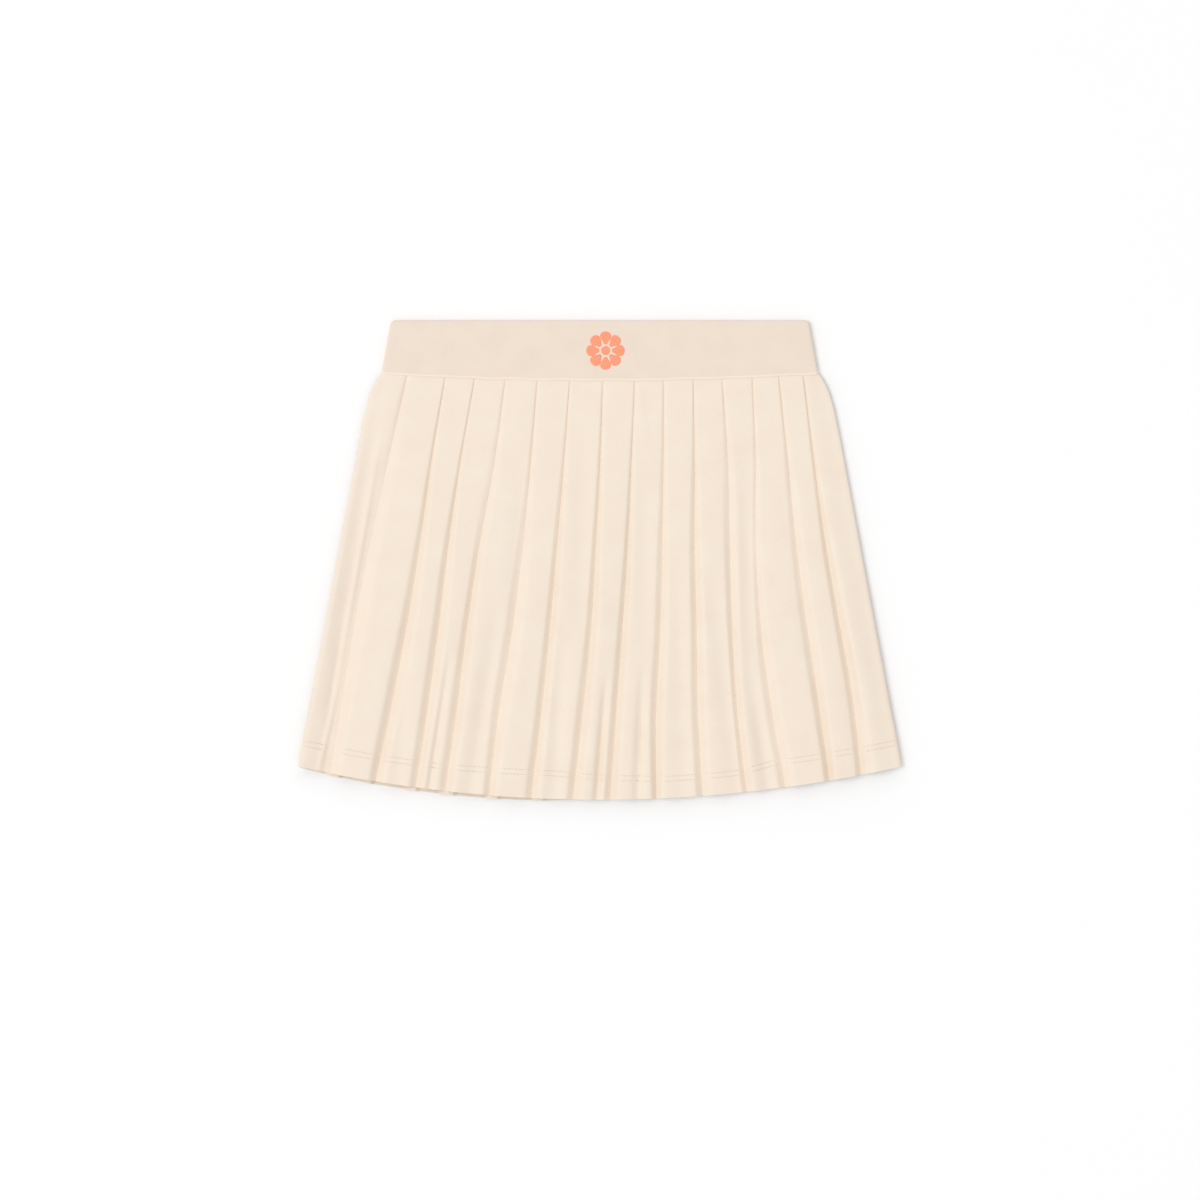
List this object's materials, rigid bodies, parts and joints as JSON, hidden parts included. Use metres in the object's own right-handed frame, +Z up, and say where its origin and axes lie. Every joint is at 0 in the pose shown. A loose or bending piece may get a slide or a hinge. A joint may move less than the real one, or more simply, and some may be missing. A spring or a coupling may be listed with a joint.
{
  "type": "tennis skirt",
  "caption": "Knife-pleated tennis skirt laid flat, front and back panels on each other under a wide elastic waistband.",
  "frame": {"origin": "on the table, under the middle of the flat skirt's outline", "axes": "+X across the skirt to the viewer's right, +Y from hem to waist, +Z up from the table"},
  "size_m": [0.491, 0.391, 0.0088],
  "materials": {
    "pleated_cloth": "matte cream knit, softly lustrous, pressed into knife pleats",
    "waistband_knit": "matte cream knit over flat elastic",
    "coral_film": "thin coral heat-pressed film, satin"
  },
  "bodies": {
    "root": {"skirt_front": "pleated_cloth", "skirt_back": "pleated_cloth", "waistband_front": "waistband_knit", "waistband_back": "waistband_knit", "waistband_motif": "coral_film"}
  },
  "joints": []
}
